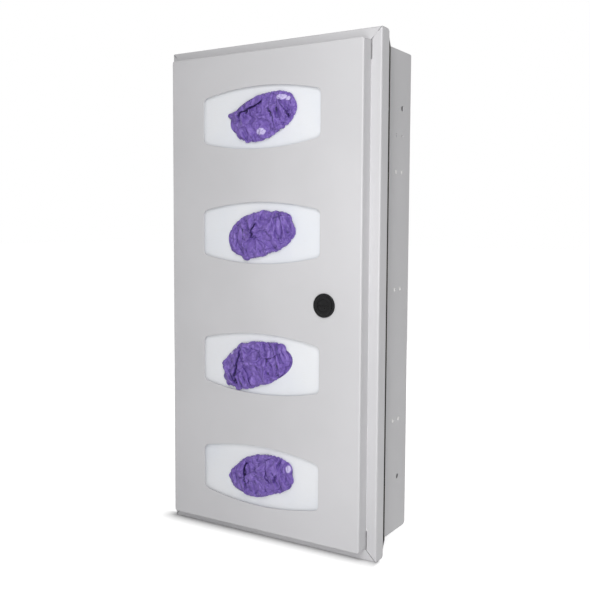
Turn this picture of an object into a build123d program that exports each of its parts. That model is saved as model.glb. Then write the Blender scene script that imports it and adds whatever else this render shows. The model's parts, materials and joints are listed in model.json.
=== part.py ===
from build123d import *
import os

# Wall-recessed dispenser for four glove cartons, in millimetres.
# X runs to the right, Y from the door back into the wall, Z up.
# The origin is the middle of the box's back panel, on its outer face.

# Cartons, from which the cabinet takes its size
carton_width = 240.0
carton_height = 127.0
carton_depth = 76.0
side_room = 16.3               # a carton's side to the box's wall, on average
head_rooms = (11.2, 14.1, 33.6, 12.5)    # above each carton, from the top one down
rear_room = 43.5               # a carton's back to the box's rear face
front_room = 2.6               # a carton's front to the inside of the door's face
floor_raise = 3.2              # lowest shelf's top above the box's floor

# Sheet
sheet = 1.2                    # door and box sheet
bend_inside = 0.6              # inside radius of a fold
box_flange = 12.5              # how far the box's flange stands out
edge_break = 0.3               # small rounding on turned and moulded pieces

# Door pan
pan_depth = 18.0               # raised face in front of the door's flange
return_depth = 18.0            # door's flange back to its rear edge
door_flange = 13.3             # width of the flange round the raised face
pan_corner = 3.0               # radius of the raised face's corners
mitre_gap = 0.8                # seam between two flanges
mitre_open_out = 0.36          # share of a top seam left open at its outer end
mitre_open_in = 0.24           # share left open at its inner end
mitre_groove = 0.3             # depth of the dressed weld between them
relief_length = 22.0           # slit that frees a side flange from the pan
relief_width = 1.1
return_chamfer = 3.0           # clipped rear corners of the side returns

# Windows in the raised face
window_rises = (-3.7, -0.3, 1.2, 1.4)    # above each carton's middle
window_offset = -2.0           # windows and cartons sit a little left of the middle
window_width = 168.7
window_height = 74.7
window_side = 40.4             # straight part of each side
window_corner = 7.0

# Box details
back_bottom_radius = 5.0
back_top_radius = 2.0
flange_taper_rise = 20.0       # the side flanges narrow over this length
flange_taper_run = 4.0
flange_corner_gap = 0.8        # between a side flange and the top flange
flange_end_setback = 0.5
stud_hole_radius = 3.2
stud_hole_from_end = 79.8      # from the door's top or bottom edge
stud_hole_from_back = 23.0
spare_place_rise = 39.4        # unused upper place of the top shelf, above its top
spare_hole_radius = 1.6
spare_slot_length = 5.0
spare_slot_radius = 1.2

# Shelves
shelf_sheet = 1.0
shelf_set_back = 11.5          # a carton's front to the shelf's front edge
shelf_rear_gap = 16.0          # open space behind a shelf
shelf_side_room = 5.0          # front part of a shelf beyond a carton's width
shelf_mouth_gap = 2.5          # wide part starts this far inside the box
shelf_lip = 11.0
shelf_side = 8.0
shelf_corner = 3.0
stop_width = 20.0              # lanced tabs behind a carton
stop_height = 12.0
stop_spread = 140.0
stop_clearance = 0.3

# Rivets
rivet_radius = 1.25
rivet_hole_clearance = 0.05
rivet_head_radius = 2.4
rivet_head_height = 0.9
rivet_tail_radius = 1.9
rivet_tail_height = 1.4
rivet_pitch = 15.6             # between a shelf side's two rivets
rivet_drop = 4.0               # below the shelf's top

# Hinge
hinge_from_end = 25.0          # the door's edge to the hinge's end
knuckle_count = 23
knuckle_gap = 0.3
hinge_pin_radius = 0.9
hinge_pin_clearance = 0.05
hinge_leaf = 0.7
hinge_leaf_width = 11.0
hinge_clearance = 0.25         # barrel to door edge, barrel to flange
hinge_rivet_count = 7
hinge_rivet_inset = 7.0
pin_overhang = 1.0

# Latch
latch_from_edge = 61.0
bezel_radius = 14.0
bezel_height = 2.2
ring_radius = 11.0
ring_height = 3.4
disc_radius = 7.4
disc_clearance = 0.08
disc_recess = 0.4
disc_height = 1.7
thread_radius = 9.0
thread_length = 11.0
neck_radius = 6.6
latch_chamfer = 0.6
latch_end_play = 0.1
spindle_radius = 5.0
spindle_clearance = 0.05
latch_hole_clearance = 0.1
slot_length = 12.0
slot_width = 1.6
slot_depth = 1.0
screw_slot_width = 1.0
nut_across_flats = 22.0
nut_height = 4.0
cam_sheet = 2.0
cam_half_width = 6.5
cam_tip_clearance = 1.5        # turned cam's tip below the shelf
cam_tip_radius = 3.0
cam_square = 6.0
cam_fit = 0.05
cam_behind_lip = 0.3
cam_below_lip = 2.0
screw_radius = 1.95
screw_head_radius = 3.6
screw_head_height = 2.2
screw_length = 9.0
washer_radius = 5.0
washer_height = 0.8

# Rubber stops on the flange
bumper_radius = 3.7
bumper_from_end = 89.5
bumper_edge_gap = 0.5
bumper_play = 0.3
bumper_round = 0.8

# Board and gloves
carton_board = 0.8
carton_edge = 0.8
mouth_width = 94.0
mouth_height = 46.0
mouth_tilt = 14.0              # the mouth's right end is the higher one
stack_play = 0.5               # side play of the folded gloves in a carton
stack_settle = 0.3             # gap under and behind the folded gloves
stack_round = 9.0
stack_head_room = 6.0
tuft_neck_play = 3.0           # tuft's neck to the mouth's edge
tuft_overhang = 3.5            # how far the tuft covers the board round the mouth
tuft_depth = 14.0

# Widths and heights that follow from the cartons
carton_count = len(head_rooms)
box_inner_half_width = carton_width / 2 + side_room
box_half_width = box_inner_half_width + sheet
door_width = 2 * (box_half_width + box_flange)
box_inner_height = carton_count * carton_height + sum(head_rooms) + floor_raise
box_half_height = box_inner_height / 2 + sheet
door_height = 2 * (box_half_height + box_flange)
box_floor = -box_inner_height / 2
carton_floors = [
    -box_floor - (i + 1) * carton_height - sum(head_rooms[:i + 1]) for i in range(carton_count)
]
floor_shelf_top = carton_floors[-1]
shelf_tops = carton_floors[:-1]
window_heights = [
    floor + carton_height / 2 + rise for floor, rise in zip(carton_floors, window_rises)
]
stud_hole_height = door_height / 2 - stud_hole_from_end
spare_hole_height = shelf_tops[0] + spare_place_rise
shelf_front_width = carton_width + 2 * shelf_side_room
hinge_length = door_height - 2 * hinge_from_end
through = 2 * door_width       # longer than anything it has to cut through

# Depths, from the box's rear face forward
bend_outside = bend_inside + sheet
barrel_radius = hinge_pin_radius + hinge_pin_clearance + hinge_leaf
carton_rear = -rear_room
carton_front = carton_rear - carton_depth
face_inside = carton_front - front_room
face_plane = face_inside - sheet
door_plane = face_plane + pan_depth
door_rear = door_plane + return_depth
hinge_x = -door_width / 2 + sheet + hinge_leaf - barrel_radius
hinge_y = door_rear + hinge_clearance + barrel_radius
flange_plane = hinge_y + barrel_radius + hinge_clearance
rivet_rear = -stud_hole_from_back
rivet_front = rivet_rear - rivet_pitch
shelf_front = carton_front + shelf_set_back
lip_rear = shelf_front + shelf_sheet
cam_front = lip_rear + cam_behind_lip
cam_rear = cam_front + cam_sheet

# Latch, placed by the middle shelf's lip
latch_x = door_width / 2 - latch_from_edge
latch_z = shelf_tops[1] - shelf_lip - cam_below_lip - cam_half_width
cam_reach = cam_half_width + cam_below_lip + shelf_lip - shelf_sheet - cam_tip_clearance


def block(x_low, x_high, y_low, y_high, z_low, z_high):
    """Solid box between two corners."""
    middle = ((x_low + x_high) / 2, (y_low + y_high) / 2, (z_low + z_high) / 2)
    return Pos(*middle) * Box(x_high - x_low, y_high - y_low, z_high - z_low)


def offset_block(x, half, y_low, y_high, z_low, z_high):
    """Solid box with its width spread evenly round x."""
    return block(x - half, x + half, y_low, y_high, z_low, z_high)


def front_outline(outline, y_low, y_high):
    """Extrude an outline drawn as seen from the front (X, Z) between two depths."""
    plane = Plane(origin=(0, y_low, 0), x_dir=(1, 0, 0), z_dir=(0, -1, 0))
    return extrude(plane * outline, amount=-(y_high - y_low))


def turned(profile, x, z):
    """Revolve (radius, depth) points round an axis along Y at x, z."""
    section = make_face(Polyline(*profile, close=True))
    solid = revolve(Plane.XY * section, axis=Axis.Y)
    return Pos(x, 0, z) * solid


def rod_x(radius, length, x, y, z):
    return Pos(x, y, z) * Rot(0, 90, 0) * Cylinder(radius, length)


def rod_y(radius, length, x, y, z):
    return Pos(x, y, z) * Rot(90, 0, 0) * Cylinder(radius, length)


def save(name, shape):
    export_step(shape, f"parts/{name}.step")


# Door panel: one folded sheet
def pan_shape(inset):
    """Raised face and its walls as a solid, shrunk by inset on every outer side."""
    half_x = door_width / 2 - door_flange - inset
    half_z = door_height / 2 - door_flange - inset
    front = face_plane + inset
    body = block(-half_x, half_x, front, door_plane + sheet, -half_z, half_z)
    body = fillet(body.edges().filter_by(Axis.Y), pan_corner - inset)
    return fillet(body.faces().sort_by(Axis.Y)[0].edges(), bend_outside - inset)


def tray_shape(inset):
    """Flange and returns as a solid, shrunk by inset on every outer side."""
    half_x = door_width / 2 - inset
    half_z = door_height / 2 - inset
    body = block(-half_x, half_x, door_plane + inset, door_rear, -half_z, half_z)
    return fillet(body.faces().sort_by(Axis.Y)[0].edges(), bend_outside - inset)


def window_outline():
    """Window with straight sides, arched top and bottom, and rounded corners."""
    half_x = window_width / 2
    half_z = window_height / 2
    side = window_side / 2 + window_corner
    top = ThreePointArc((-half_x, side), (0, half_z), (half_x, side))
    right = Line((half_x, side), (half_x, -side))
    bottom = ThreePointArc((half_x, -side), (0, -half_z), (-half_x, -side))
    left = Line((-half_x, -side), (-half_x, side))
    outline = make_face([top, right, bottom, left])
    return fillet(outline.vertices(), window_corner)


def mitre_cuts():
    """Seams at the flange's corners: the top pair is part welded, the lower open."""
    outer = 2 ** 0.5 * door_flange
    inner_arc = pan_corner * (2 ** 0.5 - 1)
    reach = outer + inner_arc
    front = door_plane - sheet
    rear = door_rear + sheet
    cuts = []
    for side in (-1, 1):
        for end in (-1, 1):
            spans = [(-sheet, reach, sheet)]
            if end > 0:
                spans = [
                    (-sheet, mitre_open_out * reach, sheet),
                    ((1 - mitre_open_in) * reach, reach, sheet),
                    (-sheet, reach, mitre_groove),
                ]
            for start, stop, depth in spans:
                seam = block(start, stop, front, door_plane + depth, -mitre_gap / 2, mitre_gap / 2)
                cuts.append(at_corner(seam, side, end))
            corner = block(-sheet, 2 * bend_outside, front, rear, -mitre_gap / 2, mitre_gap / 2)
            cuts.append(at_corner(corner, side, end))
    return cuts


def at_corner(seam, side, end):
    """Turn a seam drawn along +X so that it runs from a door corner inwards."""
    angle = {(1, 1): 135, (-1, 1): 45, (-1, -1): -45, (1, -1): -135}[(side, end)]
    return Pos(side * door_width / 2, 0, end * door_height / 2) * Rot(0, angle, 0) * seam


def relief_cuts():
    """Slits along the side flanges' inner folds, running in from the seams."""
    inner = door_width / 2 - door_flange
    top = door_height / 2 - door_flange
    cuts = []
    for side in (-1, 1):
        for end in (-1, 1):
            low, high = sorted((side * inner, side * (inner + relief_width)))
            start, stop = sorted((end * (top - relief_length), end * top))
            cuts.append(block(low, high, door_plane - sheet, door_plane + 2 * sheet, start, stop))
    return cuts


def return_clips():
    """Clipped rear corners of the two side returns."""
    corner = Polyline((0, 0), (-return_chamfer, 0), (0, -return_chamfer), close=True)
    plane = Plane(origin=(-sheet / 2 - edge_break, 0, 0), x_dir=(0, 1, 0), z_dir=(1, 0, 0))
    wedge = extrude(plane * make_face(corner), amount=sheet + 2 * edge_break)
    clips = []
    for side in (-1, 1):
        for end in (-1, 1):
            turned_wedge = wedge if end > 0 else mirror(wedge, Plane.XY)
            place = Pos(side * (door_width - sheet) / 2, door_rear, end * door_height / 2)
            clips.append(place * turned_wedge)
    return clips


def door_panel():
    sheet_metal = tray_shape(0) + pan_shape(0)
    sheet_metal -= tray_shape(sheet)
    sheet_metal -= pan_shape(sheet)
    for height in window_heights:
        outline = Pos(window_offset, height) * window_outline()
        sheet_metal -= front_outline(outline, face_plane - sheet, face_inside + sheet)
    hole = thread_radius + latch_hole_clearance
    sheet_metal -= rod_y(hole, 4 * sheet, latch_x, face_plane, latch_z)
    for cut in mitre_cuts() + relief_cuts() + return_clips():
        sheet_metal -= cut
    for height in hinge_rivet_heights():
        y = door_rear - hinge_rivet_inset
        sheet_metal -= rod_x(rivet_radius + rivet_hole_clearance, 4 * sheet, -door_width / 2, y, height)
    return sheet_metal


# Box that goes into the wall
def box_profile(inset):
    """Side view of the box: rounded where the back folds into floor and roof."""
    half_z = box_half_height - inset
    rear = -inset
    front = flange_plane
    height = 2 * half_z
    outline = Pos((front + rear) / 2, 0) * Rectangle(rear - front, height)
    corners = outline.vertices().group_by(Axis.X)[-1].sort_by(Axis.Y)
    outline = fillet(corners[0], back_bottom_radius - inset)
    corners = outline.vertices().filter_by_position(Axis.Y, half_z - edge_break, half_z + edge_break)
    return fillet(corners.sort_by(Axis.X)[-1], back_top_radius - inset)


def box_solid(inset):
    half_x = box_half_width - inset
    plane = Plane(origin=(-half_x, 0, 0), x_dir=(0, 1, 0), z_dir=(1, 0, 0))
    return extrude(plane * box_profile(inset), amount=2 * half_x)


def side_flange():
    """Right flange: full height, its free edge tapering in at both ends."""
    outer = door_width / 2
    end = door_height / 2 - flange_end_setback
    shoulder = box_half_height
    root = box_inner_half_width
    extension = box_half_width + flange_corner_gap
    upper = [
        (outer, end - flange_taper_rise),
        (outer - flange_taper_run, end),
        (extension, end),
        (extension, shoulder),
        (root, shoulder),
    ]
    lower = [(x, -z) for x, z in reversed(upper)]
    return make_face(Polyline(*upper, *lower, close=True))


def top_flange():
    """Top flange between the side flanges' extensions, with tapered ends."""
    low = box_half_height - sheet
    end = door_height / 2 - flange_end_setback
    foot = box_half_width
    tip = foot - flange_taper_run
    points = [(-foot, low), (foot, low), (tip, end), (-tip, end)]
    return make_face(Polyline(*points, close=True))


def cabinet_body():
    body = box_solid(0)
    back = flange_plane + sheet
    for outline, across in ((side_flange(), Plane.YZ), (top_flange(), Plane.XZ)):
        body += front_outline(outline, flange_plane, back)
        body += front_outline(mirror(outline, across), flange_plane, back)
    body -= box_solid(sheet)
    mouth = body.faces().sort_by(Axis.Y)[0].inner_wires()[0]
    body = fillet(mouth.edges(), bend_inside)
    for end in (-1, 1):
        body -= rod_x(stud_hole_radius, through, 0, -stud_hole_from_back, end * stud_hole_height)
    body -= rod_x(spare_hole_radius, through, 0, rivet_rear, spare_hole_height)
    for reach in (-1, 1):
        z = spare_hole_height + reach * (spare_slot_length / 2 - spare_slot_radius)
        body -= rod_x(spare_slot_radius, through, 0, rivet_front, z)
    slot_half = spare_slot_length / 2 - spare_slot_radius
    body -= block(
        -through / 2, through / 2,
        rivet_front - spare_slot_radius, rivet_front + spare_slot_radius,
        spare_hole_height - slot_half, spare_hole_height + slot_half,
    )
    for top in shelf_tops:
        for y in (rivet_front, rivet_rear):
            body -= rod_x(rivet_radius + rivet_hole_clearance, through, 0, y, top - rivet_drop)
    for height in hinge_rivet_heights():
        x = hinge_x + hinge_rivet_inset
        body -= rod_y(rivet_radius + rivet_hole_clearance, 4 * sheet, x, flange_plane, height)
    return body


# Shelves
def shelf_plate(top, side_depth):
    """Flat of a shelf with its two side flanges and two lanced carton stops."""
    under = top - shelf_sheet
    half_front = shelf_front_width / 2
    wide_front = flange_plane + shelf_mouth_gap
    rear = -shelf_rear_gap
    shape = block(-box_inner_half_width, box_inner_half_width, wide_front, rear, under, top)
    shape = fillet(shape.edges().filter_by(Axis.Z), shelf_corner)
    shape += block(-half_front, half_front, shelf_front, wide_front + shelf_corner, under, top)
    side_rear = rear - shelf_corner
    side_front = wide_front + shelf_corner
    stop_front = carton_rear + stop_clearance
    stop_rear = stop_front + shelf_sheet
    for side in (-1, 1):
        wall = side * box_inner_half_width
        low, high = sorted((wall, wall - side * shelf_sheet))
        shape += block(low, high, side_front, side_rear, top - side_depth, top)
        left = side * stop_spread / 2 - stop_width / 2
        right = left + stop_width
        shape -= block(left, right, stop_rear, stop_rear + stop_height, under - sheet, top + sheet)
        shape += block(left, right, stop_front, stop_rear, under, top + stop_height)
    return shape


def shelf(top):
    """Folded shelf with a front lip, riveted through its side flanges."""
    half_front = shelf_front_width / 2
    shape = shelf_plate(top, shelf_side)
    shape += block(-half_front, half_front, shelf_front, lip_rear, top - shelf_lip, top)
    fold = shape.edges().filter_by(Axis.X).group_by(Axis.Y)[0].sort_by(Axis.Z)[-1]
    shape = fillet(fold, shelf_sheet)
    for y in (rivet_front, rivet_rear):
        shape -= rod_x(rivet_radius + rivet_hole_clearance, through, 0, y, top - rivet_drop)
    return shape


def floor_shelf():
    """Low shelf that stands on the box's floor and clears the door pan's lower wall."""
    return shelf_plate(floor_shelf_top, floor_raise)


# Rivets, made along +X with the head's seat at the origin
def rivet(grip, tail_height, tail_radius):
    """Rivet whose domed head lies at negative X and whose shank runs to positive X."""
    dome_radius = (rivet_head_radius ** 2 + rivet_head_height ** 2) / (2 * rivet_head_height)
    dome = Pos(dome_radius - rivet_head_height, 0, 0) * Sphere(dome_radius)
    dome -= block(0, 2 * dome_radius, -dome_radius, dome_radius, -dome_radius, dome_radius)
    shank = rod_x(rivet_radius, grip, grip / 2, 0, 0)
    return dome + shank + rod_x(tail_radius, tail_height, grip + tail_height / 2, 0, 0)


def shelf_rivets():
    """Blind rivets through the box's sides into the shelves' side flanges."""
    left = rivet(sheet + shelf_sheet, rivet_tail_height, rivet_tail_radius)
    solids = []
    for top in shelf_tops:
        for y in (rivet_front, rivet_rear):
            z = top - rivet_drop
            solids.append(Pos(-box_half_width, y, z) * left)
            solids.append(Pos(box_half_width, y, z) * Rot(0, 0, 180) * left)
    return Compound(children=solids)


# Continuous hinge at the door's left edge
def hinge_rivet_heights():
    """Rivets lie at the middles of knuckles, spread over the hinge's length."""
    pitch = hinge_length / hinge_rivet_count
    return [(i - (hinge_rivet_count - 1) / 2) * pitch for i in range(hinge_rivet_count)]


def knuckle_spans(first):
    pitch = hinge_length / knuckle_count
    start = -hinge_length / 2
    spans = []
    for i in range(first, knuckle_count, 2):
        spans.append((start + i * pitch + knuckle_gap / 2, start + (i + 1) * pitch - knuckle_gap / 2))
    return spans


def hinge_leaf_shape(plate, tab_at, first):
    """Flat leaf plus every second knuckle, bored for the pin."""
    shape = plate
    for low, high in knuckle_spans(first):
        middle = Pos(hinge_x, hinge_y, (low + high) / 2)
        shape += tab_at(low, high)
        shape += middle * Cylinder(barrel_radius, high - low)
    bore = hinge_pin_radius + hinge_pin_clearance
    return shape - Pos(hinge_x, hinge_y, 0) * Cylinder(bore, 2 * hinge_length)


def hinge_body_leaf():
    """Leaf on the front of the box's left flange."""
    front = flange_plane - hinge_leaf
    start = hinge_x + barrel_radius + hinge_clearance
    half = hinge_length / 2

    def tab(low, high):
        return block(hinge_x, start, front, flange_plane, low, high)

    plate = block(start, hinge_x + hinge_leaf_width, front, flange_plane, -half, half)
    for height in hinge_rivet_heights():
        x = hinge_x + hinge_rivet_inset
        plate -= rod_y(rivet_radius + rivet_hole_clearance, 4 * sheet, x, flange_plane, height)
    return hinge_leaf_shape(plate, tab, 0)


def hinge_door_leaf():
    """Leaf on the inside of the door's left return."""
    low_x = -door_width / 2 + sheet
    high_x = low_x + hinge_leaf
    half = hinge_length / 2

    def tab(low, high):
        return block(low_x, high_x, door_rear, hinge_y, low, high)

    plate = block(low_x, high_x, hinge_y - hinge_leaf_width, door_rear, -half, half)
    for height in hinge_rivet_heights():
        y = door_rear - hinge_rivet_inset
        plate -= rod_x(rivet_radius + rivet_hole_clearance, 4 * sheet, low_x, y, height)
    return hinge_leaf_shape(plate, tab, 1)


def hinge_pin():
    return Pos(hinge_x, hinge_y, 0) * Cylinder(hinge_pin_radius, hinge_length + 2 * pin_overhang)


def hinge_door_rivets():
    blind = rivet(sheet + hinge_leaf, rivet_tail_height, rivet_tail_radius)
    y = door_rear - hinge_rivet_inset
    return Compound(children=[Pos(-door_width / 2, y, z) * blind for z in hinge_rivet_heights()])


def hinge_body_rivets():
    """Rivets set flush at the wall side, so that the flange lies flat."""
    flush = Rot(0, 0, 90) * rivet(hinge_leaf, sheet, rivet_radius)
    x = hinge_x + hinge_rivet_inset
    y = flange_plane - hinge_leaf
    return Compound(children=[Pos(x, y, z) * flush for z in hinge_rivet_heights()])


# Quarter-turn latch
def latch_housing():
    """Bezel, raised ring and threaded body, bored for the spindle."""
    bezel_front = face_plane - bezel_height
    ring_front = face_plane - ring_height
    pocket = disc_radius + disc_clearance
    floor = ring_front + disc_recess + disc_height + latch_end_play
    bore = spindle_radius + spindle_clearance
    thread_end = face_plane + thread_length
    rear = cam_front - latch_end_play
    profile = [
        (bore, floor),
        (pocket, floor),
        (pocket, ring_front),
        (ring_radius - latch_chamfer, ring_front),
        (ring_radius, ring_front + latch_chamfer),
        (ring_radius, bezel_front),
        (bezel_radius - latch_chamfer, bezel_front),
        (bezel_radius, bezel_front + latch_chamfer),
        (bezel_radius, face_plane),
        (thread_radius, face_plane),
        (thread_radius, thread_end),
        (neck_radius, thread_end),
        (neck_radius, rear),
        (bore, rear),
    ]
    return turned(profile, latch_x, latch_z)


def latch_nut():
    hexagon = RegularPolygon(nut_across_flats / 2, 6, major_radius=False)
    hexagon -= Circle(thread_radius + cam_fit)
    return front_outline(Pos(latch_x, latch_z) * hexagon, face_inside, face_inside + nut_height)


def latch_core():
    """Slotted disc, spindle and squared end; the slot lies level when unlatched."""
    front = face_plane - ring_height + disc_recess
    rear = front + disc_height
    profile = [
        (0, front),
        (disc_radius - edge_break, front),
        (disc_radius, front + edge_break),
        (disc_radius, rear),
        (spindle_radius, rear),
        (spindle_radius, cam_front),
        (0, cam_front),
    ]
    core = turned(profile, latch_x, latch_z)
    square = Pos(latch_x, latch_z) * Rectangle(cam_square, cam_square)
    core += front_outline(square, cam_front - edge_break, cam_rear)
    slot = Pos(latch_x, latch_z) * SlotOverall(slot_length, slot_width)
    core -= front_outline(slot, front - edge_break, front + slot_depth)
    depth = screw_length + cam_fit
    return core - rod_y(screw_radius + cam_fit, 2 * depth, latch_x, cam_rear, latch_z)


def latch_cam():
    """Flat tongue; it points left when unlatched and up behind the shelf's lip when latched."""
    width = 2 * cam_half_width
    hole = cam_square + 2 * cam_fit
    tongue = Pos(-cam_reach / 2, 0) * RectangleRounded(cam_reach, width, cam_tip_radius)
    shape = tongue + Circle(cam_half_width) - Rectangle(hole, hole)
    return front_outline(Pos(latch_x, latch_z) * shape, cam_front, cam_rear)


def cam_washer():
    ring = Circle(washer_radius) - Circle(screw_radius + 2 * cam_fit)
    return front_outline(Pos(latch_x, latch_z) * ring, cam_rear, cam_rear + washer_height)


def cam_screw():
    seat = cam_rear + washer_height
    head = seat + screw_head_height
    tip = cam_rear - screw_length
    profile = [
        (0, tip),
        (screw_radius, tip),
        (screw_radius, seat),
        (screw_head_radius, seat),
        (screw_head_radius, head - edge_break),
        (screw_head_radius - edge_break, head),
        (0, head),
    ]
    screw = turned(profile, latch_x, latch_z)
    slot = Pos(latch_x, latch_z) * Rectangle(through, screw_slot_width)
    return screw - front_outline(slot, head - slot_depth, head + edge_break)


# Rubber stops
def door_bumpers():
    height = flange_plane - door_rear - bumper_play
    stop = Rot(90, 0, 0) * Cylinder(bumper_radius, height)
    stop = fillet(stop.edges().sort_by(Axis.Y)[0], bumper_round)
    x = door_width / 2 - bumper_edge_gap - bumper_radius
    y = flange_plane - height / 2
    z = door_height / 2 - bumper_from_end
    return Compound(children=[Pos(x, y, end * z) * stop for end in (-1, 1)])


# Cartons and the gloves in them
def mouth_outline(play):
    oval = Ellipse(mouth_width / 2 - play, mouth_height / 2 - play)
    return Rot(0, 0, mouth_tilt) * oval


def glove_carton(floor):
    """Paperboard carton with an oval mouth in its front."""
    half = carton_width / 2
    top = floor + carton_height
    x = window_offset
    board = carton_board
    outside = offset_block(x, half, carton_front, carton_rear, floor, top)
    outside = fillet(outside.edges().filter_by(Axis.Z), carton_edge)
    front = carton_front + board
    rear = carton_rear - board
    inside = offset_block(x, half - board, front, rear, floor + board, top - board)
    middle = (floor + top) / 2
    mouth = Pos(x, middle) * mouth_outline(0)
    return outside - inside - front_outline(mouth, carton_front - sheet, carton_front + 2 * board)


def glove_stack(floor):
    """Folded gloves, pressed into one soft block with rounded edges."""
    half = carton_width / 2 - carton_board - stack_play
    low = floor + carton_board + stack_settle
    high = floor + carton_height - carton_board - stack_head_room
    front = carton_front + carton_board + stack_play
    rear = carton_rear - carton_board - stack_settle
    stack = offset_block(window_offset, half, front, rear, low, high)
    return fillet(stack.edges().filter_by(Axis.X), stack_round)


def glove_tuft(floor):
    """The next glove, bunched up through the mouth towards the window."""
    middle = floor + carton_height / 2
    seat = carton_front - stack_settle
    neck = Pos(window_offset, middle) * mouth_outline(tuft_neck_play)
    neck_end = carton_front + carton_board + stack_play - stack_settle
    neck_solid = front_outline(neck, seat - tuft_depth / 4, neck_end)
    half_width = mouth_width / 2 + tuft_overhang
    half_height = mouth_height / 2 + tuft_overhang
    ball = scale(Sphere(tuft_depth), (half_width / tuft_depth, 1, half_height / tuft_depth))
    bulge = Pos(window_offset, seat, middle) * Rot(0, -mouth_tilt, 0) * ball
    half = door_width / 2
    behind = block(-half, half, seat, seat + through, middle - carton_height, middle + carton_height)
    return bulge - behind + neck_solid


def build():
    os.makedirs("parts", exist_ok=True)
    save("cabinet_body", cabinet_body())
    for name, top in zip(("shelf_top", "shelf_middle", "shelf_bottom"), shelf_tops):
        save(name, shelf(top))
    save("floor_shelf", floor_shelf())
    save("shelf_rivets", shelf_rivets())
    save("door_panel", door_panel())
    save("hinge_body_leaf", hinge_body_leaf())
    save("hinge_body_rivets", hinge_body_rivets())
    save("hinge_door_leaf", hinge_door_leaf())
    save("hinge_door_rivets", hinge_door_rivets())
    save("hinge_pin", hinge_pin())
    save("latch_housing", latch_housing())
    save("latch_nut", latch_nut())
    save("latch_core", latch_core())
    save("latch_cam", latch_cam())
    save("cam_washer", cam_washer())
    save("cam_screw", cam_screw())
    save("door_bumpers", door_bumpers())
    for number, floor in enumerate(carton_floors, start=1):
        save(f"glove_carton_{number}", glove_carton(floor))
        save(f"glove_stack_{number}", glove_stack(floor))
        save(f"glove_tuft_{number}", glove_tuft(floor))


build()
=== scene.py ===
import bpy
import bmesh
import json
import math
from mathutils import Matrix, Vector, noise


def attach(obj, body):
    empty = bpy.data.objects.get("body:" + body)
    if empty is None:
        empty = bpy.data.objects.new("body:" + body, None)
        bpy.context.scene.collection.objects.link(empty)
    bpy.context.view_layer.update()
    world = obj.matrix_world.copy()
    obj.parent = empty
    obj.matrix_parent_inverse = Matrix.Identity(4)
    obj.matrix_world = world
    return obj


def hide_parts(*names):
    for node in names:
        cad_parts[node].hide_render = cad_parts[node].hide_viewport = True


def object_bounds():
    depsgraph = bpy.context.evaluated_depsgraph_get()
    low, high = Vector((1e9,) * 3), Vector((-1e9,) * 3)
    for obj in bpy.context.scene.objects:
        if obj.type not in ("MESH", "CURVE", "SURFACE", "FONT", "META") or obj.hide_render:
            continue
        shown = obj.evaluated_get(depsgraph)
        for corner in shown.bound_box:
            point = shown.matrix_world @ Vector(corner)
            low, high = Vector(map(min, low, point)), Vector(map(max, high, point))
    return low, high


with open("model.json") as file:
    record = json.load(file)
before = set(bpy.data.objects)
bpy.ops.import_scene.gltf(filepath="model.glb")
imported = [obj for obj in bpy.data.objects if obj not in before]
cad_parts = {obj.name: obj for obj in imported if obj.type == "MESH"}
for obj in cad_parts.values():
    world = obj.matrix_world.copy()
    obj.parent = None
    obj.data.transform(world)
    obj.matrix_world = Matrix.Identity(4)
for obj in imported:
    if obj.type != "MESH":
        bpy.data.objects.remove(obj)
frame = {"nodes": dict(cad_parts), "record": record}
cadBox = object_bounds()
nodes = frame["nodes"]
print("frame loaded:", len(nodes), "nodes")

mm = 0.001

# Camera, fitted to the photograph's straight edges
photoCamera = {
    "place": (0.5644, -0.9445, 0.0827),
    "heading": 32.14,        # degrees to the left of straight on
    "dip": 4.232,            # degrees below level
    "roll": 0.271,
    "lens": 50.45,
    "sensor": 36,
    "shift": (0.0007, -0.0116),
    "clip": (0.05, 40),
}


def setCamera(v):
    heading, dip, roll = (math.radians(v[k]) for k in ("heading", "dip", "roll"))
    forward = Vector((
        -math.sin(heading) * math.cos(dip),
        math.cos(heading) * math.cos(dip),
        -math.sin(dip),
    ))
    level = Vector((math.cos(heading), math.sin(heading), 0))
    upright = level.cross(forward)
    right = level * math.cos(roll) + upright * math.sin(roll)
    up = upright * math.cos(roll) - level * math.sin(roll)
    turn = Matrix((right, up, -forward)).transposed().to_4x4()
    data = bpy.data.cameras.new("photoCamera")
    data.lens = v["lens"]
    data.sensor_width = v["sensor"]
    data.shift_x, data.shift_y = v["shift"]
    data.clip_start, data.clip_end = v["clip"]
    camera = bpy.data.objects.new("photoCamera", data)
    camera.matrix_world = Matrix.Translation(v["place"]) @ turn
    bpy.context.scene.collection.objects.link(camera)
    bpy.context.scene.camera = camera


setCamera(photoCamera)
bpy.context.scene.view_settings.view_transform = "Standard"


# Shader sums are written on wrapped sockets
class Wire:
    def __init__(self, socket):
        self.socket = socket

    def sum(self, operation, first, second):
        return self.node("ShaderNodeMath", {"operation": operation}, {0: first, 1: second})

    def node(self, kind, settings={}, sockets={}, output=0):
        return addNode(self.socket.id_data, kind, settings, sockets, output)

    def __add__(self, other):
        return self.sum("ADD", self, other)

    def __sub__(self, other):
        return self.sum("SUBTRACT", self, other)

    def __mul__(self, other):
        return self.sum("MULTIPLY", self, other)

    def __truediv__(self, other):
        return self.sum("DIVIDE", self, other)

    def __pow__(self, other):
        return self.sum("POWER", self, other)

    def __rsub__(self, other):
        return self.sum("SUBTRACT", other, self)

    def __gt__(self, other):
        return self.sum("GREATER_THAN", self, other)

    __radd__ = __add__
    __rmul__ = __mul__


def addNode(tree, kind, settings={}, sockets={}, output=0):
    node = tree.nodes.new(kind)
    for name, value in settings.items():
        setattr(node, name, value)
    for key, value in sockets.items():
        if isinstance(value, Wire):
            tree.links.new(value.socket, node.inputs[key])
        else:
            node.inputs[key].default_value = value
    return Wire(node.outputs[output]) if node.outputs else None


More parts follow.
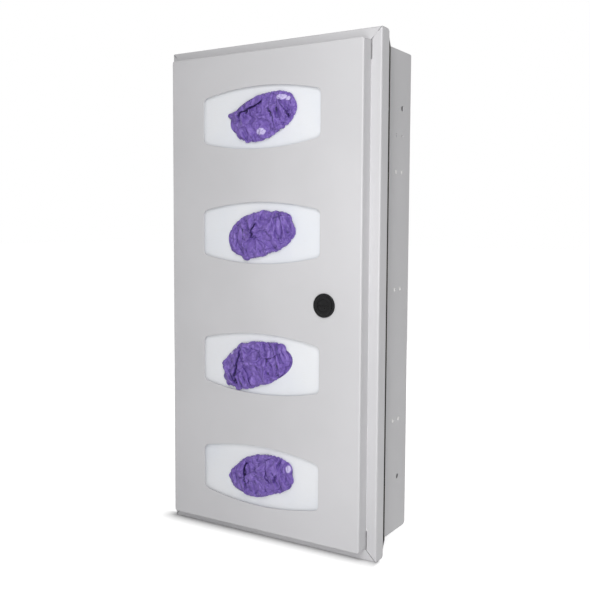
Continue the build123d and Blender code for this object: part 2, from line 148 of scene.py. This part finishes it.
class Finish:
    def __init__(self, name):
        self.material = bpy.data.materials.new(name)
        self.material.use_nodes = True
        self.tree = self.material.node_tree
        self.tree.nodes.clear()
        self.place = self.node("ShaderNodeTexCoord", output="Object")

    def node(self, kind, settings={}, sockets={}, output=0):
        return addNode(self.tree, kind, settings, sockets, output)

    def noise(self, scale, detail, roughness=0.5, place=None, distortion=0.0):
        sockets = {"Vector": place or self.place, "Scale": scale, "Detail": detail}
        sockets.update({"Roughness": roughness, "Distortion": distortion})
        return self.node("ShaderNodeTexNoise", {}, sockets)

    def squeeze(self, value, low, high):
        sockets = {"Value": value, "From Min": low, "From Max": high}
        return self.node("ShaderNodeMapRange", {"interpolation_type": "SMOOTHSTEP"}, sockets)

    def mix(self, factor, first, second):
        first, second = [c if isinstance(c, Wire) else (*c, 1) for c in (first, second)]
        return self.node("ShaderNodeMix", {"data_type": "RGBA"}, {0: factor, 6: first, 7: second}, 2)

    def axes(self):
        return [self.node("ShaderNodeSeparateXYZ", {}, {0: self.place}, i) for i in range(3)]

    def vary(self, value, *swings):
        for texture, swing in swings:
            value = value + (texture - 0.5) * swing
        return value

    def bump(self, height, distance, strength=1.0, normal=None):
        sockets = {"Height": height, "Distance": distance, "Strength": strength}
        if normal:
            sockets["Normal"] = normal
        return self.node("ShaderNodeBump", {}, sockets)

    def close(self, **sockets):
        names = {name.replace("_", " "): value for name, value in sockets.items()}
        shader = self.node("ShaderNodeBsdfPrincipled", {}, names)
        self.node("ShaderNodeOutputMaterial", {}, {"Surface": shader})
        return self.material


# Finishes: noise scales are per metre, swings change the roughness, reliefs are height and strength
paintValues = {
    "pale": (0.605, 0.600, 0.615),
    "deep": (0.570, 0.566, 0.580),
    "clouds": 7.0,
    "peel": 620,             # orange peel of the powder coat
    "grain": 2600,
    "speckle": 0.18,
    "rough": 0.40,
    "swings": (0.07, 0.06),
    "peelShare": 0.75,
    "relief": (0.04 * mm, 0.55),
    # rim of the flange behind the door's free edge, darkened to stand in for a shadow
    "gapStart": 0.1477,
    "gapDepth": (-0.0845, -0.0834),
    "gapShadeColour": (0.022, 0.020, 0.014),
    "gapShadeShare": 0.95,
}


def greyPaint(v):
    f = Finish("greyPaint")
    cloud = f.noise(v["clouds"], 3.0)
    peel = f.noise(v["peel"], 2.0)
    grain = f.noise(v["grain"], 1.0)
    colour = f.mix(f.squeeze(cloud, 0.3, 0.7), v["deep"], v["pale"])
    colour = f.mix(f.squeeze(grain, 0.35, 0.75) * v["speckle"], colour, v["deep"])
    across, along = f.axes()[:2]
    # painted shadow: the flange's front rim behind the door's free edge is darkened where the shade falls
    gapShade = (across > v["gapStart"]) * (along > v["gapDepth"][0]) * (1 - (along > v["gapDepth"][1]))
    colour = f.mix(gapShade * v["gapShadeShare"], colour, v["gapShadeColour"])
    rough = f.vary(v["rough"], (cloud, v["swings"][0]), (grain, v["swings"][1]))
    normal = f.bump(peel * v["peelShare"] + grain * (1 - v["peelShare"]), *v["relief"])
    return f.close(Base_Color=colour, Roughness=rough, Normal=normal)


steelValues = {
    "pale": (0.66, 0.65, 0.64),
    "deep": (0.50, 0.50, 0.50),
    "brushing": (900, 900, 30),
    "clouds": 22,
    "shares": (0.6, 0.3),    # of the deep colour, with the brush lines and with the clouds
    "rough": 0.32,
    "swings": (0.25, 0.1),
    "relief": (0.02 * mm, 0.5),
}


def brushedSteel(v):
    f = Finish("brushedSteel")
    stretch = f.node("ShaderNodeMapping", {}, {"Vector": f.place, "Scale": v["brushing"]})
    lines = f.noise(1.0, 3.0, 0.6, stretch)
    cloud = f.noise(v["clouds"], 3.0)
    deep = f.squeeze(lines, 0.3, 0.7) * v["shares"][0] + f.squeeze(cloud, 0.35, 0.7) * v["shares"][1]
    colour = f.mix(deep, v["pale"], v["deep"])
    rough = f.vary(v["rough"], (lines, v["swings"][0]), (cloud, v["swings"][1]))
    normal = f.bump(lines, *v["relief"])
    return f.close(Base_Color=colour, Roughness=rough, Metallic=1.0, Normal=normal)


zincValues = {
    "pale": (0.62, 0.63, 0.64),
    "deep": (0.40, 0.42, 0.44),
    "flakes": 420.0,
    "clouds": 60,
    "shares": (0.4, 0.4),    # of the deep colour, with the flakes and with the clouds
    "rough": 0.38,
    "swing": 0.2,
    "metal": 0.9,
    "relief": (0.03 * mm, 0.5),
}


def zincPlate(v):
    f = Finish("zincPlate")
    flakes = f.node("ShaderNodeTexVoronoi", {}, {"Vector": f.place, "Scale": v["flakes"]})
    cloud = f.noise(v["clouds"], 3.0)
    deep = f.squeeze(flakes, 0.1, 0.7) * v["shares"][0] + f.squeeze(cloud, 0.35, 0.7) * v["shares"][1]
    colour = f.mix(deep, v["pale"], v["deep"])
    rough = f.vary(v["rough"], (cloud, v["swing"]))
    normal = f.bump(cloud, *v["relief"])
    return f.close(Base_Color=colour, Roughness=rough, Metallic=v["metal"], Normal=normal)


latchValues = {
    "black": (0.004, 0.004, 0.0045),
    "worn": (0.012, 0.012, 0.013),
    "clouds": 240,
    "grain": 1800,
    "wornShare": 0.6,
    "rough": 0.30,
    "swings": (0.16, 0.08),
    "gloss": 0.22,
    "relief": (0.03 * mm, 0.6),
    "threadStart": -0.1215,  # the threaded length lies behind the door's face
    "threadEnd": -0.1124,
    "threadPitch": 1.0 * mm,
    "threadHeight": 0.3 * mm,
}


def blackLatch(v):
    f = Finish("blackLatch")
    along = f.axes()[1]
    cloud = f.noise(v["clouds"], 3.0)
    grain = f.noise(v["grain"], 2.0)
    turn = 2 * math.pi / v["threadPitch"]
    turns = f.node("ShaderNodeMath", {"operation": "SINE"}, {0: along * turn})
    threaded = (along > v["threadStart"]) * (1 - (along > v["threadEnd"]))
    colour = f.mix(f.squeeze(cloud, 0.55, 0.8) * v["wornShare"], v["black"], v["worn"])
    rough = f.vary(v["rough"], (cloud, v["swings"][0]), (grain, v["swings"][1]))
    normal = f.bump(grain, *v["relief"], f.bump(turns * threaded, v["threadHeight"]))
    return f.close(Base_Color=colour, Roughness=rough, Normal=normal, Specular_IOR_Level=v["gloss"])


rubberValues = {
    "black": (0.016, 0.016, 0.017),
    "dusty": (0.05, 0.05, 0.052),
    "grain": 1500,
    "dust": 90,
    "dustShare": 0.5,
    "rough": 0.74,
    "swing": 0.2,
    "relief": (0.08 * mm, 0.7),
}


def blackRubber(v):
    f = Finish("blackRubber")
    grain = f.noise(v["grain"], 3.0)
    dust = f.noise(v["dust"], 3.0)
    colour = f.mix(f.squeeze(dust, 0.55, 0.8) * v["dustShare"], v["black"], v["dusty"])
    rough = f.vary(v["rough"], (grain, v["swing"]))
    return f.close(Base_Color=colour, Roughness=rough, Normal=f.bump(grain, *v["relief"]))


cartonValues = {
    "white": (0.80, 0.813, 0.838),
    "shade": (0.76, 0.782, 0.825),
    "edge": (0.70, 0.66, 0.58),
    "fibres": (140, 140, 900),
    "clouds": 11,
    "specks": 2200,
    "edgeShare": 0.15,
    "rough": 0.46,
    "swings": (0.18, 0.06),
    "fibreShare": 0.7,
    "relief": (0.05 * mm, 0.5),
}


def whiteCarton(v):
    f = Finish("whiteCarton")
    stretch = f.node("ShaderNodeMapping", {}, {"Vector": f.place, "Scale": v["fibres"]})
    fibre = f.noise(1.0, 4.0, 0.6, stretch)
    cloud = f.noise(v["clouds"], 3.0)
    speck = f.noise(v["specks"], 1.0)
    colour = f.mix(f.squeeze(cloud, 0.35, 0.7), v["white"], v["shade"])
    colour = f.mix(f.squeeze(fibre, 0.5, 0.8) * v["edgeShare"], colour, v["edge"])
    rough = f.vary(v["rough"], (fibre, v["swings"][0]), (speck, v["swings"][1]))
    normal = f.bump(fibre * v["fibreShare"] + speck * (1 - v["fibreShare"]), *v["relief"])
    return f.close(Base_Color=colour, Roughness=rough, Normal=normal)


gloveValues = {
    "film": (0.150, 0.085, 0.370),
    "light": (0.225, 0.140, 0.490),
    "fold": (0.060, 0.030, 0.190),
    "slit": (0.016, 0.008, 0.055),
    "pale": (0.56, 0.50, 0.76),
    "clouds": 90,
    "wrinkles": 320,
    "pores": 2600,
    "creases": 95.0,
    "bends": (70.0, 0.012),  # scale and share of the noise that bends the fine creases
    "creaseWidth": 0.14,
    "creaseShare": 0.55,
    "foldShare": 0.85,
    "foldRange": (0.12, 0.75),
    "slitRange": (0.72, 0.95),
    "rough": 0.46,
    "swings": (0.2, 0.1),
    "creaseRelief": (1.2 * mm, 0.6),
    "wrinkleRelief": (0.9 * mm, 0.55),
    "poreRelief": (0.04 * mm, 0.4),
}


def gloveFilm(v):
    f = Finish("gloveFilm")
    depth = f.node("ShaderNodeAttribute", {"attribute_name": "fold"}, output=2)
    pale = f.node("ShaderNodeAttribute", {"attribute_name": "pale"}, output=2)
    cloud = f.noise(v["clouds"], 3.0, 0.55, distortion=0.4)
    wrinkle = f.noise(v["wrinkles"], 4.0, 0.6, distortion=0.8)
    pore = f.noise(v["pores"], 2.0)
    scale, share = v["bends"]
    bend = f.node("ShaderNodeTexNoise", {}, {"Vector": f.place, "Scale": scale, "Detail": 2.0}, 1)
    bent = f.node("ShaderNodeMix", {"data_type": "VECTOR"}, {0: share, 4: f.place, 5: bend}, 1)
    sockets = {"Vector": bent, "Scale": v["creases"]}
    sharp = f.node("ShaderNodeTexVoronoi", {"feature": "DISTANCE_TO_EDGE"}, sockets)
    # fine creases: bumped in the normal below, and darkened here with painted shade
    crease = (1 - f.squeeze(sharp, 0.0, v["creaseWidth"])) * f.squeeze(cloud, 0.38, 0.62)
    colour = f.mix(f.squeeze(cloud, 0.3, 0.75), v["film"], v["light"])
    colour = f.mix(crease * v["creaseShare"], colour, v["fold"])
    # painted shade in the folds and hollows of the film
    colour = f.mix(f.squeeze(depth, *v["foldRange"]) * v["foldShare"], colour, v["fold"])
    # painted shade of the crease lines, darkest where they form slits
    colour = f.mix(f.squeeze(depth, *v["slitRange"]), colour, v["slit"])
    colour = f.mix(pale * f.squeeze(wrinkle, 0.2, 0.5), colour, v["pale"])
    rough = f.vary(v["rough"], (cloud, v["swings"][0]), (pore, v["swings"][1]))
    normal = f.bump(wrinkle, *v["wrinkleRelief"])
    normal = f.bump(f.squeeze(sharp, 0.0, 0.3), *v["creaseRelief"], normal)
    normal = f.bump(pore, *v["poreRelief"], normal)
    return f.close(Base_Color=colour, Roughness=rough, Normal=normal)


finishes = {
    "greyPaint": greyPaint(paintValues),
    "brushedSteel": brushedSteel(steelValues),
    "zincPlate": zincPlate(zincValues),
    "blackLatch": blackLatch(latchValues),
    "blackRubber": blackRubber(rubberValues),
    "whiteCarton": whiteCarton(cartonValues),
    "gloveFilm": gloveFilm(gloveValues),
}
finishOfSlot = {
    "grey_paint": "greyPaint",
    "bright_steel": "brushedSteel",
    "zinc_steel": "zincPlate",
    "black_latch": "blackLatch",
    "black_rubber": "blackRubber",
    "white_carton": "whiteCarton",
    "purple_gloves": "gloveFilm",
}


def wear(piece, finish):
    piece.data.materials.clear()
    piece.data.materials.append(finishes[finish])


for part in frame["record"]["subparts"]:
    wear(nodes[part["node"]], finishOfSlot[part["material_slot"]])
print("finishes on", len(nodes), "nodes")


def addPiece(name, mesh, finish, body):
    piece = bpy.data.objects.new(name, mesh)
    bpy.context.scene.collection.objects.link(piece)
    wear(piece, finish)
    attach(piece, body)
    return piece


# Gloves bunched up in the mouths: film with spare length, laid by cloth simulation over those beneath
film = {
    "cells": 70,
    "enlarge": 20.0,          # the cloth is simulated this much larger
    "spare": 0.22,            # extra length of the film in both directions
    "cut": 1.40,              # flat size over the outline, with what the creases and the tucked rim take
    "crown": (6.5, 0.75),     # how far the gloves beneath stand out in mm, and the power of their dome
    "lumps": (2.2, 0.055, 40),   # their unevenness: mm, frequency per mm, step from seed to seed
    "ripples": (3.2, 0.10, 17),  # the film's own, given in the same way, before it falls
    "drop": 2.5,              # the film starts this far above them
    "rimSlope": 6,            # drop and ripples fade this fast towards the rim
    "seat": 0.5,              # rim in front of the board
    "frames": 24,
    "pinned": 0.985,          # share of the radius from which on the film is held
    "bed": {"thickness_outer": 0.008, "cloth_friction": 12},
    "cloth": {
        "quality": 5,
        "mass": 0.12,
        "tension_stiffness": 22,
        "compression_stiffness": 22,
        "shear_stiffness": 9,
        "bending_stiffness": 0.05,
        "air_damping": 2.5,
    },
    "contact": {"distance_min": 0.008, "use_self_collision": True, "self_distance_min": 0.009},
    "rounding": 0.6,          # of the cells, when each is cut in four
    "smoothing": 24,          # rounds, for the surface that the folds' depth is taken from
    "foldDepth": (0.15, 1.1),  # mm below it where the painted shade in the folds starts, and from there to full dark
    "wander": (0.9, 6),       # a crease's swing to the sides in mm, and how fast it swings
    "ends": (0.12, 5),        # how far a crease runs on past its ends, and how fast it fades there
    "lean": 1.6,              # how far its raised side leans over the sunk one, mm
    "raised": (7.0, 2.5),     # how far from it the lift and the lean fade, mm
    "sunk": 2.5,
    "darkLine": (0.6, 1.25),  # the painted shade line along it: its place on the sunk side and its width, mm
    "spotEdge": (0.25, 0.4, 6),  # a pale spot's ragged edge: depth, frequency per mm, sharpness
    "tuck": (0.86, 3.0),      # rim's last ring, turned back into the mouth: share of the outline, mm deep
    "tucked": 0.992,          # share of the radius from which on the film is turned back
    "lowest": 0.35,           # the rest stays this far in front of the board, mm
}
gloves = {
    # centre from the middle of the carton's front in mm, half axes, tilt of the right end in degrees;
    # from there: lobes of the outline as angle, reach, width; creases as start, end, lift, sink, darkness
    # of their painted shade line, where a lift below zero raises the other side; pale spots as middle,
    # half axes
    "glove_tuft_1": {
        "centre": (5.3, -2.9), "half": (48.0, 26.1), "tilt": 17.5, "seed": 3.1,
        "lobes": [(144, 13, 7), (190, -1.7, 14), (229, 1.8, 6), (62, -1.1, 14), (292, -1.6, 18)],
        "creases": [
            ((-34.6, 2.7), (-1.4, 19.3), 3.6, 2.2, 1.0),
            ((23.0, 23.0), (35.0, -4.0), -2.2, 1.6, 0.72),
            ((33.0, 4.0), (34.5, -3.0), -1.0, 1.6, 1.0),
            ((10.0, 17.5), (12.5, 13.0), 0.8, 1.2, 0.85),
            ((-38.0, -8.0), (-27.0, -24.0), 1.6, 1.2, 0.6),
        ],
        "spots": [((27.5, 20.5), (6.0, 3.4)), ((35.0, 18.5), (3.6, 2.6)), ((-2.0, -18.0), (6.5, 4.4))],
    },
    "glove_tuft_2": {
        "centre": (0.7, -1.8), "half": (50.2, 27.5), "tilt": 12.6, "seed": 8.7,
        "lobes": [(30, 1.4, 8), (62, -2.1, 12), (180, -2.8, 26), (238, 3.4, 8), (282, -2.2, 20)],
        "creases": [
            ((-4.5, 13.5), (-9.0, -4.0), -3.4, 2.2, 1.0),
            ((-3.0, 15.0), (38.0, 21.0), -1.6, 1.4, 0.55),
            ((-24.0, -10.0), (-14.0, -25.0), 2.0, 1.6, 0.66),
            ((12.0, -5.0), (24.0, -13.0), 1.0, 0.8, 0.45),
            ((42.0, 17.0), (46.0, 9.0), 0.8, 1.4, 0.95),
        ],
        "spots": [],
    },
    "glove_tuft_3": {
        "centre": (-8.0, -0.6), "half": (52.1, 27.9), "tilt": 19.5, "seed": 5.2,
        "lobes": [
            (20, 2.0, 7), (56, -3.8, 18), (102, 2.2, 9), (150, 2.8, 6),
            (174, -3.8, 9), (207, 2.4, 7), (230, 3.6, 5), (268, -2.0, 20),
        ],
        "creases": [
            ((-19.3, 16.5), (-27.5, -24.0), -3.6, 2.2, 1.0),
            ((7.0, 17.0), (13.0, 10.5), -1.2, 1.8, 0.95),
            ((-14.0, -4.0), (-4.0, -26.0), -1.8, 1.2, 0.62),
            ((18.0, 10.0), (38.0, 17.0), 1.8, 1.4, 0.6),
            ((-10.0, 26.0), (8.0, 18.0), 1.6, 1.2, 0.66),
        ],
        "spots": [((-31.0, 13.0), (2.4, 2.4))],
    },
    "glove_tuft_4": {
        "centre": (2.6, 2.1), "half": (49.5, 25.4), "tilt": 13.5, "seed": 1.4,
        "lobes": [
            (354, -2.8, 14), (138, -2.5, 14), (172, 2.0, 6),
            (218, -2.0, 9), (282, -1.8, 12), (318, 1.9, 8),
        ],
        "creases": [
            ((-23.0, 14.0), (-24.0, -4.0), -2.6, 2.0, 1.0),
            ((16.0, 23.0), (-33.0, -12.0), 2.4, 1.4, 0.66),
            ((10.0, 10.0), (13.0, -7.0), -1.8, 1.6, 0.7),
            ((26.0, 9.0), (21.0, -3.0), -1.4, 1.2, 0.75),
            ((-14.0, -4.0), (-20.0, -18.0), -1.6, 1.2, 0.62),
        ],
        "spots": [((40.0, 15.0), (3.6, 4.6))],
    },
}


# A point of a square grid, moved to its place in the glove's outline
def discPoint(g, a, b):
    x, y = a * math.sqrt(1 - b * b / 2), b * math.sqrt(1 - a * a / 2)
    angle = math.degrees(math.atan2(y, x)) % 360
    reach = 0.0
    for middle, lobe, width in g["lobes"]:
        turn = (angle - middle + 180) % 360 - 180
        reach += lobe * math.exp(-((turn / width) ** 2))
    length = math.hypot(x * g["half"][0], y * g["half"][1]) or 1.0
    radius = min(1.0, math.hypot(x, y))
    grow = 1 + reach * radius ** 3 / max(length, 1.0)
    u, v = x * g["half"][0] * grow, y * g["half"][1] * grow
    tilt = math.radians(g["tilt"])
    return u * math.cos(tilt) - v * math.sin(tilt), u * math.sin(tilt) + v * math.cos(tilt), radius


def discMesh(name, v, g, height):
    bm = bmesh.new()
    bmesh.ops.create_grid(bm, x_segments=v["cells"], y_segments=v["cells"], size=1)
    reach = bm.verts.layers.float.new("reach")
    for p in bm.verts:
        x, y, p[reach] = discPoint(g, p.co.x, p.co.y)
        p.co = Vector((x, y, height(x, y, p[reach]))) * (mm * v["enlarge"])
    mesh = bpy.data.meshes.new(name)
    bm.to_mesh(mesh)
    bm.free()
    return mesh


def unevenness(x, y, seed, height, frequency, step):
    return noise.noise(Vector((x, y, step * seed)) * frequency) * height


def layFilm(v, g):
    def bedHeight(x, y, radius):
        crown, power = v["crown"]
        lump = unevenness(x, y, g["seed"], *v["lumps"])
        return (crown + lump) * max(0.0, 1 - radius * radius) ** power

    def filmHeight(x, y, radius):
        ripple = unevenness(x, y, g["seed"], *v["ripples"])
        inside = min(1.0, v["rimSlope"] * (1 - radius))
        return bedHeight(x, y, radius) + (v["drop"] + ripple) * inside + v["seat"]

    mesh = discMesh("film", v, g, filmHeight)
    scene = bpy.context.scene
    bed = bpy.data.objects.new("bed", discMesh("bed", v, g, bedHeight))
    trial = bpy.data.objects.new("filmTrial", mesh)
    for piece in (bed, trial):
        scene.collection.objects.link(piece)
    bed.modifiers.new("bed", "COLLISION")
    rim = trial.vertex_groups.new(name="rim")
    radii = [item.value for item in mesh.attributes["reach"].data]
    rim.add([i for i, radius in enumerate(radii) if radius > v["pinned"]], 1.0, "REPLACE")
    cloth = trial.modifiers.new("cloth", "CLOTH")
    settings = [(bed.collision, "bed"), (cloth.settings, "cloth"), (cloth.collision_settings, "contact")]
    for holder, key in settings:
        for name, value in v[key].items():
            setattr(holder, name, value)
    cloth.settings.vertex_group_mass = "rim"
    cloth.settings.shrink_min = -v["spare"]
    cloth.point_cache.frame_end = v["frames"]
    for step in range(1, v["frames"] + 1):
        scene.frame_set(step)
    settled = trial.evaluated_get(bpy.context.evaluated_depsgraph_get()).to_mesh()
    places = [p.co.copy() for p in settled.vertices]
    bpy.data.objects.remove(trial)
    bpy.data.objects.remove(bed)
    scene.frame_set(1)
    for p, place in zip(mesh.vertices, places):
        p.co = place
    return mesh


# Painted shade: how dark each point is, from how far it lies below the smoothed surface
def foldDarkness(v, bm):
    heights = [p.co.z for p in bm.verts]
    smooth = list(heights)
    around = [[e.other_vert(p).index for e in p.link_edges] for p in bm.verts]
    for step in range(v["smoothing"]):
        smooth = [sum(smooth[i] for i in near) / len(near) for near in around]
    start, span = v["foldDepth"]
    return [max(0.0, min(1.0, (s - h - start) / span)) for s, h in zip(smooth, heights)]


def pressCreases(v, g, bm, fold):
    wander, turns = v["wander"]
    past, fade = v["ends"]
    liftFade, leanFade = v["raised"]
    place, width = v["darkLine"]
    for start, end, lift, sink, dark in g["creases"]:
        start, end = Vector(start), Vector(end)
        run = end - start
        along, across = run.normalized(), Vector((-run.y, run.x)).normalized()
        if lift < 0:
            across, lift = -across, -lift
        for p in bm.verts:
            away = Vector((p.co.x, p.co.y)) - start
            t, d = away.dot(along) / run.length, away.dot(across)
            d += wander * math.sin(t * turns + g["seed"])
            ends = max(0.0, min(1.0, (t + past) * fade, (1 + past - t) * fade))
            if not ends:
                continue
            if d > 0:
                p.co.z += lift * ends * math.exp(-d / liftFade)
                p.co.xy -= across * (v["lean"] * ends * math.exp(-d / leanFade))
            else:
                p.co.z -= sink * ends * math.exp(d / v["sunk"])
            # painted shade: a dark line on the crease's sunk side
            line = dark * ends * math.exp(-((d + place) / width) ** 2)
            fold[p.index] = max(fold[p.index], line)


def spotPaleness(v, g, bm):
    ragged, frequency, sharp = v["spotEdge"]
    pale = []
    for p in bm.verts:
        edge = 1 + ragged * noise.noise(Vector((p.co.x, p.co.y, 0)) * frequency)
        away = [math.hypot((p.co.x - c[0]) / r[0], (p.co.y - c[1]) / r[1]) for c, r in g["spots"]]
        pale.append(max(0.0, min(1.0, (edge - min(away, default=math.inf)) * sharp)))
    return pale


def tuckRim(v, bm):
    reach = bm.verts.layers.float["reach"]
    share, depth = v["tuck"]
    for p in bm.verts:
        if p[reach] > v["tucked"]:
            p.co = Vector((p.co.x * share, p.co.y * share, -depth))
        else:
            p.co.z = max(p.co.z, v["lowest"])


# From flat on the floor, in millimetres, to upright on the carton's front
def placeOnCarton(bm, g, carton):
    corners = [carton.matrix_world @ Vector(c) for c in carton.bound_box]
    middle = sum(corners, Vector()) / len(corners)
    front = min(c.y for c in corners)
    upright = Matrix(((1, 0, 0, 0), (0, 0, -1, 0), (0, 1, 0, 0), (0, 0, 0, 1)))
    bmesh.ops.transform(bm, verts=bm.verts, matrix=upright)
    bmesh.ops.translate(bm, verts=bm.verts, vec=(g["centre"][0], 0, g["centre"][1]))
    bmesh.ops.scale(bm, verts=bm.verts, vec=(mm, mm, mm))
    bmesh.ops.translate(bm, verts=bm.verts, vec=(middle.x, front, middle.z))


def gloveTuft(v, name, g):
    mesh = layFilm(v, g)
    bm = bmesh.new()
    bm.from_mesh(mesh)
    bmesh.ops.subdivide_edges(bm, edges=bm.edges, cuts=1, use_grid_fill=True, smooth=v["rounding"])
    bmesh.ops.scale(bm, verts=bm.verts, vec=Vector((1, 1, 1)) / (mm * v["enlarge"]))
    bm.verts.index_update()
    fold = foldDarkness(v, bm)
    pressCreases(v, g, bm, fold)
    pale = spotPaleness(v, g, bm)
    tuckRim(v, bm)
    placeOnCarton(bm, g, nodes[name.replace("tuft", "carton")])
    bmesh.ops.recalc_face_normals(bm, faces=bm.faces)
    for face in bm.faces:
        face.smooth = True
    shown = bpy.data.meshes.new(name + "_film")
    bm.to_mesh(shown)
    bm.free()
    bpy.data.meshes.remove(mesh)
    for attribute, values in (("fold", fold), ("pale", pale)):
        shown.attributes.new(attribute, "FLOAT", "POINT").data.foreach_set("value", values)
    piece = addPiece(name + "_film", shown, "gloveFilm", "cabinet")
    rounds = piece.modifiers.new("rounds", "SUBSURF")
    rounds.levels = rounds.render_levels = 1
    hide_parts(name)
    flat = [2 * half * v["cut"] * mm for half in g["half"]]
    flat[0] * flat[1] * math.pi / 4


for name, g in gloves.items():
    gloveTuft(film, name, g)
print("gloves laid")


# Floor and studio
studio = {
    "floorHalf": 14,
    "floorColour": 0.80,
    "floorGlow": 0.74,           # away from the object's foot, in camera and mirror rays only
    "foot": (-0.1053, -0.1000),  # the door's flange, the lowest edge above the floor
    "shadowReach": 0.037,
    "farShare": 4.0,             # the painted shadow's reach is this much shorter on the right and behind
    "ambient": 0.34,
    "softboxes": [
        # place, aimed at, width, height, watts
        ((0.39, -0.69, 0.12), (0.10, -0.1, 0.0), 0.22, 1.1, 5.1),
        ((-0.35, 1.50, 0.40), (0.0, 0.0, 0.0), 1.0, 1.2, 7.0),
    ],
}


# 1 for rays that are looked along, straight, mirrored or through glass, and 0 for rays that only light
def seenRays(tree):
    names = ("Is Camera Ray", "Is Glossy Ray", "Is Transmission Ray")
    straight, mirrored, through = [addNode(tree, "ShaderNodeLightPath", output=name) for name in names]
    settings = {"operation": "ADD", "use_clamp": True}
    return addNode(tree, "ShaderNodeMath", settings, {0: straight + mirrored, 1: through})


def floorPaper(v):
    f = Finish("floorPaper")
    paper = f.node("ShaderNodeBsdfDiffuse", {}, {"Color": (v["floorColour"],) * 3 + (1,)})
    away = []
    foot = [(cadBox[0].x, cadBox[1].x), v["foot"]]
    for axis, (start, end) in zip(f.axes(), foot):
        middle, half = (start + end) / 2, (end - start) / 2
        beside = f.node("ShaderNodeMath", {"operation": "ABSOLUTE"}, {0: axis - middle}) - half
        share = 1 + (axis > middle) * (v["farShare"] - 1)
        away.append(share * f.node("ShaderNodeMath", {"operation": "MAXIMUM"}, {0: beside, 1: 0.0}))
    # painted shadow: the glow fades out towards the object's foot, so the floor's shadow there is partly
    # cast by the lamps and partly painted by this fade
    far = (away[0] * away[0] + away[1] * away[1]) ** 0.5 / v["shadowReach"]
    far = f.node("ShaderNodeMath", {"operation": "MINIMUM"}, {0: far, 1: 1.0})
    strength = seenRays(f.tree) * ((1 - (1 - far) ** 2) * v["floorGlow"])
    glow = f.node("ShaderNodeEmission", {}, {"Color": (1, 1, 1, 1), "Strength": strength})
    both = f.node("ShaderNodeAddShader", {}, {0: paper, 1: glow})
    f.node("ShaderNodeOutputMaterial", {}, {"Surface": both})
    return f.material


def layFloor(v):
    bm = bmesh.new()
    bmesh.ops.create_grid(bm, x_segments=1, y_segments=1, size=v["floorHalf"])
    bmesh.ops.translate(bm, verts=bm.verts, vec=(0, 0, cadBox[0].z))
    mesh = bpy.data.meshes.new("studioFloor")
    bm.to_mesh(mesh)
    bm.free()
    mesh.materials.append(floorPaper(v))
    floor = bpy.data.objects.new("studioFloor", mesh)
    bpy.context.scene.collection.objects.link(floor)


def lightRoom(v):
    world = bpy.data.worlds.new("studioRoom")
    bpy.context.scene.world = world
    world.use_nodes = True
    tree = world.node_tree
    tree.nodes.clear()
    strength = v["ambient"] + seenRays(tree) * (1 - v["ambient"])
    room = addNode(tree, "ShaderNodeBackground", {}, {"Color": (1, 1, 1, 1), "Strength": strength})
    addNode(tree, "ShaderNodeOutputWorld", {}, {"Surface": room})


def hangSoftboxes(v):
    for i, (place, aim, width, height, watts) in enumerate(v["softboxes"], 1):
        lamp = bpy.data.lights.new(f"softbox{i}", "AREA")
        lamp.shape = "RECTANGLE"
        lamp.size, lamp.size_y, lamp.energy = width, height, watts
        holder = bpy.data.objects.new(f"softbox{i}", lamp)
        bpy.context.scene.collection.objects.link(holder)
        holder.location = place
        holder.visible_camera = False
        holder.rotation_euler = (Vector(aim) - Vector(place)).to_track_quat("-Z", "Y").to_euler()


layFloor(studio)
lightRoom(studio)
hangSoftboxes(studio)
print("studio set")
